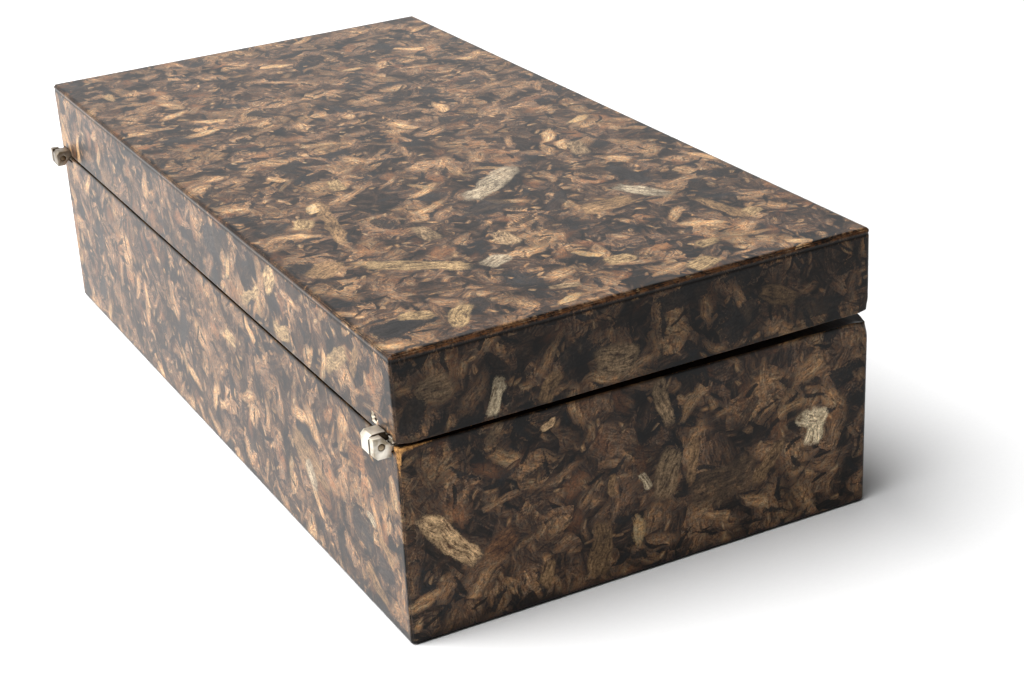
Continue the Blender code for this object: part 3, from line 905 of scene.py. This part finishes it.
flake_coverings = [
    covering(f"pressed_leaf_flakes_lacquered_{face.replace(' ', '_')}", face) for face in FACES
]
bare_wood = stained_wood("planed_wood_stained_dark")

NOT_ON_LAP = 50.0


def values_of(items, key, width=1, kind=float):
    """One value of all a mesh's vertices, corners or faces, as an array."""
    values = np.empty(len(items) * width, kind)
    items.foreach_get(key, values)
    return values


def corners_of(mesh):
    """For each face corner: its place and its face's outward direction, in the mesh's own frame."""
    place = values_of(mesh.vertices, "co", 3).reshape(-1, 3)[values_of(mesh.loops, "vertex_index", kind=int)]
    normal = values_of(mesh.polygons, "normal", 3).reshape(-1, 3)
    return place, np.repeat(normal, values_of(mesh.polygons, "loop_total", kind=int), axis=0)


def add_map(mesh, name, columns):
    """Adds a map of two columns, one row for each face corner."""
    layer = mesh.uv_layers.new(name=name)
    layer.uv.foreach_set("vector", np.stack(columns, 1).astype(np.float32).ravel())


def map_flakes(mesh, height_shift, top=None):
    """Maps each corner in millimetres on its face, as the box was covered, and from the edges and the top.

    Each face then takes its own covering, as the large flakes and the painted light and shade differ from
    face to face.
    """
    place, normal = corners_of(mesh)
    low, high = place.min(0) / MM, place.max(0) / MM
    place = place / MM
    x, y, z = place.T
    axis = np.abs(normal).argmax(1)
    outward = normal[np.arange(len(axis)), axis] > 0
    face = axis * 2 + outward
    across = np.where(axis == 0, y, x)
    up = np.where(axis == 2, y, z + height_shift)
    add_map(mesh, "flake_mm", [across + FACE_SHIFT[0] * (face + 1), up + FACE_SHIFT[1] * face])

    inwards = np.minimum(place - low, high - place)
    inwards[np.arange(len(axis)), axis] = np.inf
    below_top = np.full(len(axis), NOT_ON_LAP)
    if top is not None:
        below_top = np.where(axis == 2, NOT_ON_LAP, top / MM - z)
    add_map(mesh, "edge_mm", [inwards.min(1), below_top])

    first_corner = values_of(mesh.polygons, "loop_start", kind=int)
    used = values_of(mesh.polygons, "material_index", kind=int)
    covered = used == mesh.materials.find(flake_coverings[0].name)
    for material in flake_coverings[1:]:
        mesh.materials.append(material)
    index = np.array([mesh.materials.find(material.name) for material in flake_coverings])
    mesh.polygons.foreach_set("material_index", np.where(covered, index[face[first_corner]], used))


def finish_tray(mesh, name, nodes, body):
    """Shades a tray, and gives it its place in the frame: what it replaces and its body."""
    mesh.shade_smooth()
    mesh.set_sharp_from_angle(angle=math.radians(40))
    item = bpy.data.objects.new(name, mesh)
    bpy.context.scene.collection.objects.link(item)
    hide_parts(*nodes)
    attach(item, body)


MORTISE_DEPTH = 1.65 * MM
MORTISE_LENGTH = 6.9 * MM
MORTISE_REACH = 6.8 * MM
MORTISE_MIDDLE = 5.45 * MM

tray_values = {
    "Steps Across": WIDTH_STEPS,
    "Steps Along": LENGTH_STEPS,
    "Edge Round": EDGE_ROUND,
    "Wall": SIDE_WALL,
    "Floor": FLOOR,
    "Inner Corner": INNER_CORNER,
    "Mortise Size": (2 * MORTISE_REACH, MORTISE_LENGTH, 2 * MORTISE_DEPTH),
    "Mortise Inset": MORTISE_MIDDLE,
    "Sawn Off": 0.5 * MM,
    "Ripple": 0.05 * MM,
    "Edge Wear": 0.35 * MM,
    "Covering": flake_coverings[0],
    "Bare Wood": bare_wood,
}


def dent(mesh, place, radius, depth, inwards):
    """Wears a soft hollow into a mesh round a place: deepest in its middle, nothing at its radius."""
    place, inwards = Vector(place), Vector(inwards).normalized()
    for vertex in mesh.vertices:
        near = 1 - (vertex.co - place).length / radius
        if near > 0:
            vertex.co += inwards * depth * near * near * (3 - 2 * near)


base_mesh = made_by(
    tray_tree,
    "base_covered",
    {**tray_values, "Size": (WIDTH, LENGTH, BASE_HEIGHT), "Steps Up": BASE_STEPS, "Seed": 1.0},
)
map_flakes(base_mesh, height_shift=0.0)
dent(base_mesh, (-WIDTH / 2, -LENGTH / 2, BASE_HEIGHT), 3.5 * MM, 0.5 * MM, (1, 1, -1))
dent(base_mesh, (WIDTH / 2, -LENGTH / 2, BASE_HEIGHT), 4.5 * MM, 0.9 * MM, (-1, 0.4, -1))
finish_tray(base_mesh, "base_covered", ["base"], "box")

# The lid
# The top slice of the same covered box, hung on the hinges, so its flakes run on from the base's.
# It stands a little open at the free side, as the hinge leaves meet before the rims do.

LID_HEIGHT = 20.4 * MM
LID_PANEL = 6.0 * MM
LID_STEPS = 56
RIM_GAP = 0.6 * MM
LID_AJAR = 0.75
SAWN_AWAY_MM = 0.2
COVERING_LAP = 1.5 * MM
LAP_GROOVE = 0.16 * MM
CHIP_ALONG = -109.1 * MM
CHIP_ABOVE_RIM = 2.3 * MM
CHIP_SPREAD = 1.5
CHIP_RAGGED = 0.45
CHIP_GRIT = 0.7 * MM


def chip(mesh, place, radius, depth, inwards):
    """Breaks a ragged chip out of a mesh, cut finer there first, and marks how deep each point is."""
    place, inwards = Vector(place), Vector(inwards).normalized()
    shape = bmesh.new()
    shape.from_mesh(mesh)
    marks = shape.verts.layers.float.new("chipped")
    reach = CHIP_SPREAD * radius
    near = [edge for edge in shape.edges if min((v.co - place).length for v in edge.verts) < reach]
    bmesh.ops.subdivide_edges(shape, edges=near, cuts=5, use_grid_fill=True)
    for vertex in shape.verts:
        ragged = CHIP_RAGGED * noise.noise(vertex.co / CHIP_GRIT)
        within = 1 - (vertex.co - place).length / radius + ragged
        if within > 0 and (vertex.co - place).length < reach:
            vertex[marks] = within
            vertex.co += inwards * depth * min(1, 2 * within)
    shape.to_mesh(mesh)
    shape.free()


hinge = next(joint for joint in frame["joints"] if joint["name"] == "lid_hinge")
HINGE_AXIS_PLACE = Vector(hinge["pos_m"])

lid_mesh = made_by(
    tray_tree,
    "lid_covered",
    {
        **tray_values,
        "Size": (WIDTH, LENGTH, LID_HEIGHT),
        "Steps Up": LID_STEPS,
        "Floor": LID_PANEL,
        "Lap": COVERING_LAP,
        "Lap Groove": LAP_GROOVE,
        "Seed": 2.0,
    },
)
rim_at = BASE_HEIGHT + RIM_GAP
turned_over = Matrix.Translation((0, 0, rim_at + LID_HEIGHT)) @ Matrix.Rotation(math.pi, 4, "X")
lid_mesh.transform(turned_over)
map_flakes(lid_mesh, height_shift=SAWN_AWAY_MM, top=rim_at + LID_HEIGHT)
dent(lid_mesh, (-WIDTH / 2, -LENGTH / 2, rim_at), 4.0 * MM, 0.6 * MM, (1, 1, 1))
dent(lid_mesh, (WIDTH / 2, -LENGTH / 2, rim_at), 3.5 * MM, 0.5 * MM, (-1, 0.4, 1))
chip(lid_mesh, (-WIDTH / 2, CHIP_ALONG, rim_at + CHIP_ABOVE_RIM), 1.5 * MM, 0.7 * MM, (1, 0, 0))
opened = (
    Matrix.Translation(HINGE_AXIS_PLACE)
    @ Matrix.Rotation(math.radians(-LID_AJAR), 4, "Y")
    @ Matrix.Translation(-HINGE_AXIS_PLACE)
)
lid_mesh.transform(opened)
finish_tray(lid_mesh, "lid_covered", ["lid"], "lid")

# The hinges
# Two small nickel-plated stop hinges. Each leaf is a plate let into its rim, with a square block of
# a knuckle outside the wall, and a steel pin is driven through both knuckles.

LEAF_EDGE = 0.12 * MM


def softened_copy(node, name, width):
    """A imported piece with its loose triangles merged, its flat faces made whole and its edges broken."""
    shape = bmesh.new()
    shape.from_mesh(frame["nodes"][node].data)
    bmesh.ops.remove_doubles(shape, verts=shape.verts, dist=1e-6)
    bmesh.ops.dissolve_limit(shape, angle_limit=math.radians(1), verts=shape.verts, edges=shape.edges)
    sharp = [e for e in shape.edges if len(e.link_faces) == 2 and e.calc_face_angle(0) > math.radians(30)]
    bmesh.ops.bevel(
        shape, geom=sharp, offset=width, segments=2, profile=0.5, affect="EDGES", clamp_overlap=True
    )
    mesh = bpy.data.meshes.new(name)
    shape.to_mesh(mesh)
    shape.free()
    mesh.shade_smooth()
    mesh.set_sharp_from_angle(angle=math.radians(35))
    item = bpy.data.objects.new(name, mesh)
    bpy.context.scene.collection.objects.link(item)
    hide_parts(node)
    return item


BETWEEN_KNUCKLES = 115.65 * MM
# Painted shade and dirt between the knuckles, and painted shade on the far hinge
GRIME_AND_SHADE_REACH = 1.0 * MM
GRIME_AND_SHADE_FADE = (0.0, 0.15 * MM, 0.0, 0.95)
FAR_HINGE_SHADE = 0.7
STAIN_SPACING = 2.5 * MM
STAIN_STOPS = (0.30, 0.42, 0.62)
ROUGHER_STAINS = 0.12


def worn_metal(name, dark, mid, light, roughness):
    """Plated or drawn metal, long handled: smooth and bright, dulled in broad soft stains, with painted
    shade and dirt between the knuckles and painted shade on the far hinge.
    """
    material, tree, shader = new_material(name)
    place = add(tree, "TexCoord").outputs["Object"]
    stain = add(tree, "TexNoise", [place, 1 / STAIN_SPACING, 2.0]).outputs["Fac"]
    ramp = add(tree, "ValToRGB", {"Fac": stain})
    stops = ramp.color_ramp.elements
    stops.new(0.5)
    for stop, where, hex_colour in zip(stops, STAIN_STOPS, (dark, mid, light)):
        stop.position = where
        stop.color = linear(hex_colour)

    # Painted shade and brown dirt between the two knuckles of each hinge, and painted shade on the far hinge
    along = add(tree, "SeparateXYZ", [place]).outputs[1]
    from_middle = add(tree, "Math", [along], operation="ABSOLUTE")
    from_joint = add(tree, "Math", [from_middle, BETWEEN_KNUCKLES], operation="SUBTRACT")
    from_joint = add(tree, "Math", [from_joint], operation="ABSOLUTE")
    ragged = add(tree, "Math", [stain, GRIME_AND_SHADE_REACH], operation="MULTIPLY")
    grime_and_shade = add(tree, "Math", [ragged, from_joint], operation="SUBTRACT")
    grime_and_shade = add(tree, "MapRange", [grime_and_shade, *GRIME_AND_SHADE_FADE])
    grimed_and_shaded = add(tree, "Mix", [grime_and_shade, ramp.outputs["Color"], linear("#2f2211")], data_type="RGBA")
    # Painted shade: the far hinge darkened towards a dull brown
    far_hinge_shade = add(tree, "MapRange", [along, 0.0, LENGTH / 2, 0.0, FAR_HINGE_SHADE])
    dulled = add(tree, "Mix", [far_hinge_shade, grimed_and_shaded, linear("#4f4030")], data_type="RGBA")
    tree.links.new(first_output(dulled), shader.inputs["Base Color"])
    rough = add(tree, "MapRange", [stain, 0.3, 0.6, roughness + ROUGHER_STAINS, roughness])
    tree.links.new(rough.outputs[0], shader.inputs["Roughness"])
    shader.inputs["Metallic"].default_value = 1.0
    return material


nickel = worn_metal("nickel_plated_brass_rubbed", "#9c917d", "#c4bcae", "#dcd5c8", 0.42)
pin_steel = worn_metal("drawn_steel_pin_dull", "#4e4132", "#7d6e59", "#9c8e78", 0.42)

for side in ("left", "right"):
    for member, body in (("base", "box"), ("lid", "lid")):
        node = f"{side}_hinge_{member}_leaf"
        leaf = softened_copy(node, f"{node}_plated", LEAF_EDGE)
        leaf.data.materials.clear()
        leaf.data.materials.append(nickel)
        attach(leaf, body)
    node = f"{side}_hinge_pin"
    pin = softened_copy(node, f"{node}_steel", LEAF_EDGE)
    pin.data.materials.clear()
    pin.data.materials.append(pin_steel)
    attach(pin, "box")
